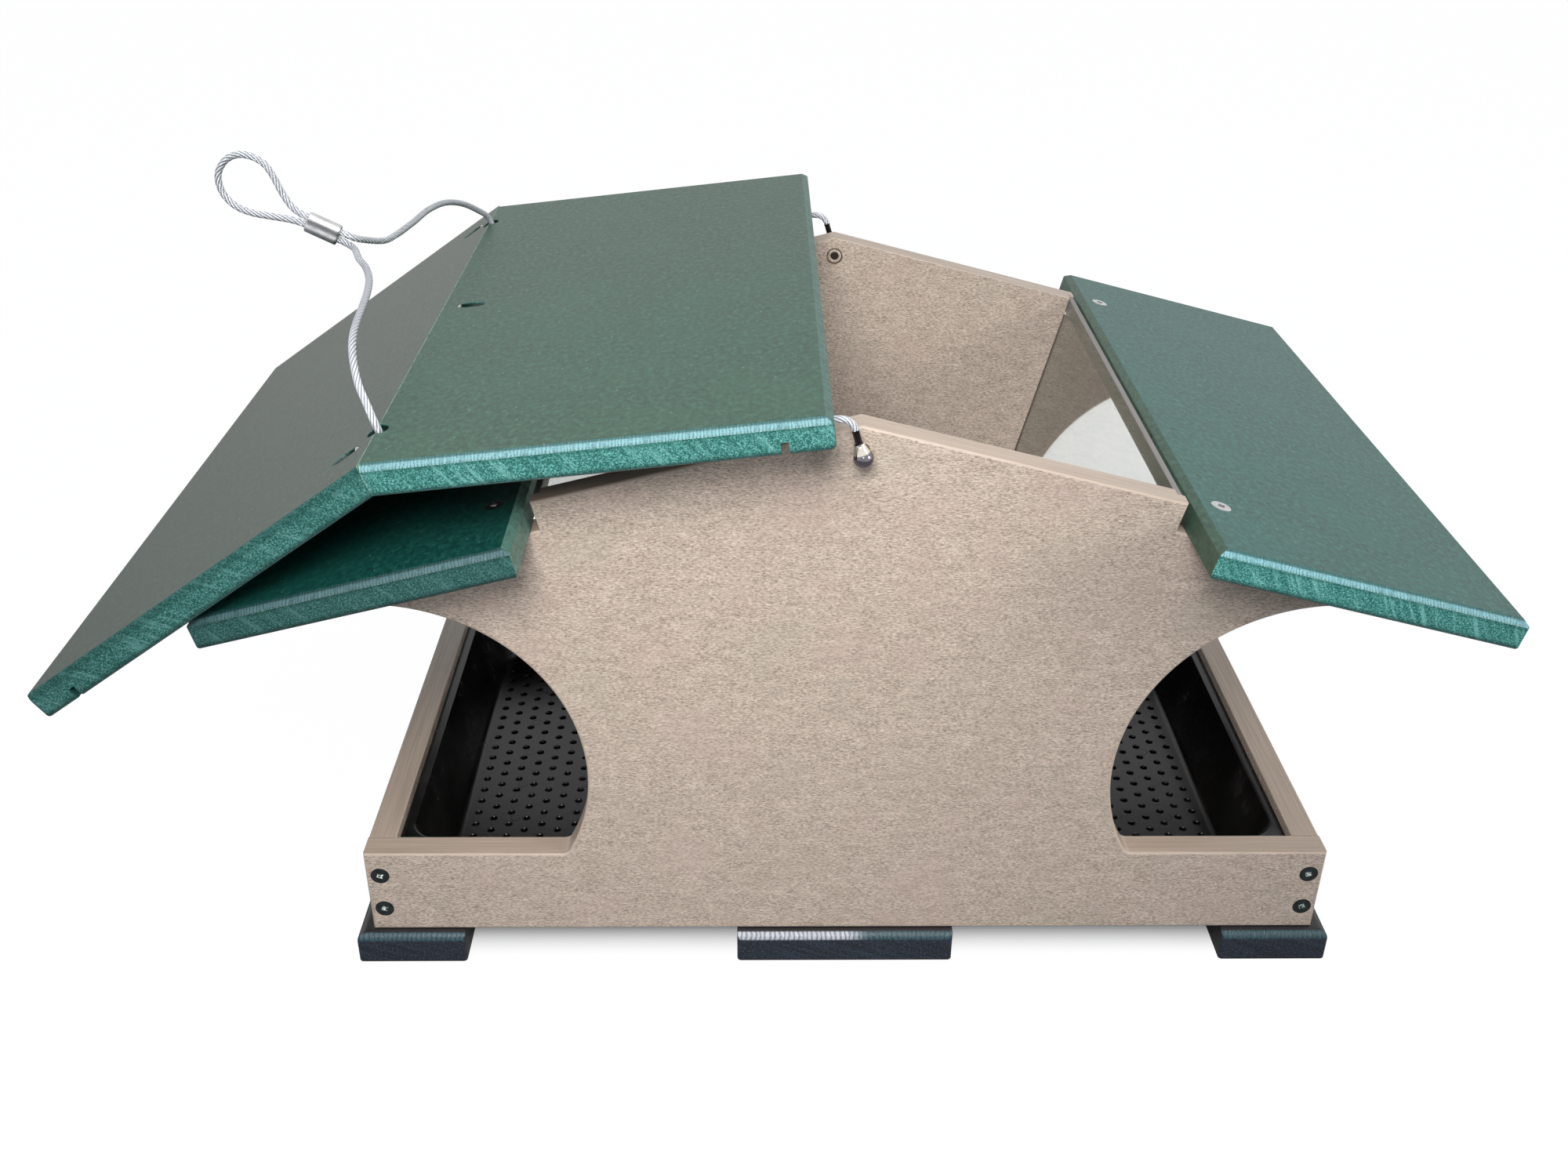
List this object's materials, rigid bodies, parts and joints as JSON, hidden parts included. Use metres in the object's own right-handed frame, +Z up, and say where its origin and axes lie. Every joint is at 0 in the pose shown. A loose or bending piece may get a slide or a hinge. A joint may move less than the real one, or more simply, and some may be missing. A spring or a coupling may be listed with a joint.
{
  "type": "hopper bird feeder",
  "caption": "House-shaped hopper bird feeder in recycled plastic lumber, with clear windows, a drained tray and a mitred roof cap that slides up its steel hanging cable.",
  "frame": {"origin": "on the floor, under the middle of the base, in the underside of the middle runner", "axes": "+X to the right along the end panels, +Y from the front panel to the back one, +Z up"},
  "size_m": [0.585, 0.35, 0.3425],
  "materials": {
    "tan_lumber": "matt speckled recycled plastic board",
    "green_lumber": "satin green recycled plastic board with router-cut bevels",
    "black_lumber": "satin black recycled plastic board",
    "tray_plastic": "glossy black moulded plastic",
    "clear_sheet": "clear acrylic sheet with frosted saw-cut edges",
    "steel_cable": "bright twisted steel wire rope",
    "pressed_sleeve": "satin pressed ferrule",
    "chrome_fitting": "bright chrome",
    "stainless_screw": "stainless steel",
    "coated_screw": "grey coated steel"
  },
  "bodies": {
    "root": {"front_panel": "tan_lumber", "back_panel": "tan_lumber", "left_rail": "tan_lumber", "right_rail": "tan_lumber", "tray": "tray_plastic", "left_window": "clear_sheet", "right_window": "clear_sheet", "left_eave": "green_lumber", "right_eave": "green_lumber", "left_runner": "black_lumber", "centre_runner": "black_lumber", "right_runner": "black_lumber", "anchor_bolts": "stainless_screw", "anchor_nuts": "stainless_screw", "left_eave_screws": "stainless_screw", "right_eave_screws": "stainless_screw", "front_rail_screws": "coated_screw", "back_rail_screws": "coated_screw", "left_runner_screws": "coated_screw", "centre_runner_screws": "coated_screw", "right_runner_screws": "coated_screw"},
    "anchors": {"front_cable_end": "chrome_fitting", "back_cable_end": "chrome_fitting"},
    "bail": {"front_strand": "steel_cable", "back_strand": "steel_cable", "cable_loop": "steel_cable", "ferrule": "pressed_sleeve"},
    "cap": {"cap_left_board": "green_lumber", "cap_right_board": "green_lumber", "ridge_screws": "stainless_screw"}
  },
  "joints": [
    {"name": "cap_swing", "type": "hinge", "parent": "root", "child": "bail", "pos_m": [0, 0, 0.258], "axis": [0, 1, 0], "range_deg": [0, 85], "deforming": ["front_strand", "back_strand"]},
    {"name": "anchor_swivel", "type": "hinge", "parent": "root", "child": "anchors", "pos_m": [0, 0, 0.258], "axis": [0, 1, 0], "range_deg": [0, 17.01]},
    {"name": "cap_tilt", "type": "hinge", "parent": "bail", "child": "cap", "pos_m": [-0.09657, 0, 0.39343], "axis": [0, 1, 0], "range_deg": [-64.31, 0]}
  ],
  "couplings": [
    {"joint": "cap_tilt", "follows": "cap_swing", "ratio": -0.75647},
    {"joint": "anchor_swivel", "follows": "cap_swing", "ratio": 0.2}
  ]
}
